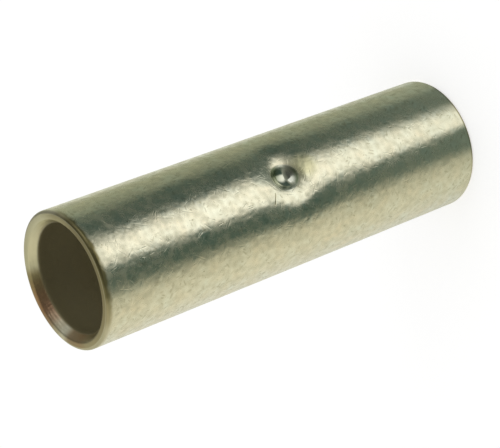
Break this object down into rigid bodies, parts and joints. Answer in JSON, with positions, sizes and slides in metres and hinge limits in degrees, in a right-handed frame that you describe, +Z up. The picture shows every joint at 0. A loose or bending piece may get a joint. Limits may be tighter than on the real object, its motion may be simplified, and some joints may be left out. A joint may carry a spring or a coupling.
{
  "type": "compression splice",
  "caption": "Tinned copper tube that joins stranded conductors end to end by crimping, with chamfered mouths and a punched stop at mid-length.",
  "frame": {"origin": "centre of the lower end face, on the surface that the tube stands on", "axes": "+Z up along the tube's axis; -Y out through the dimple of the punched stop; the stop is at half the height"},
  "size_m": [0.019, 0.019, 0.065],
  "materials": {
    "tinned_copper": "satin tin plating on copper"
  },
  "bodies": {
    "root": {"splice_tube": "tinned_copper"}
  },
  "joints": []
}
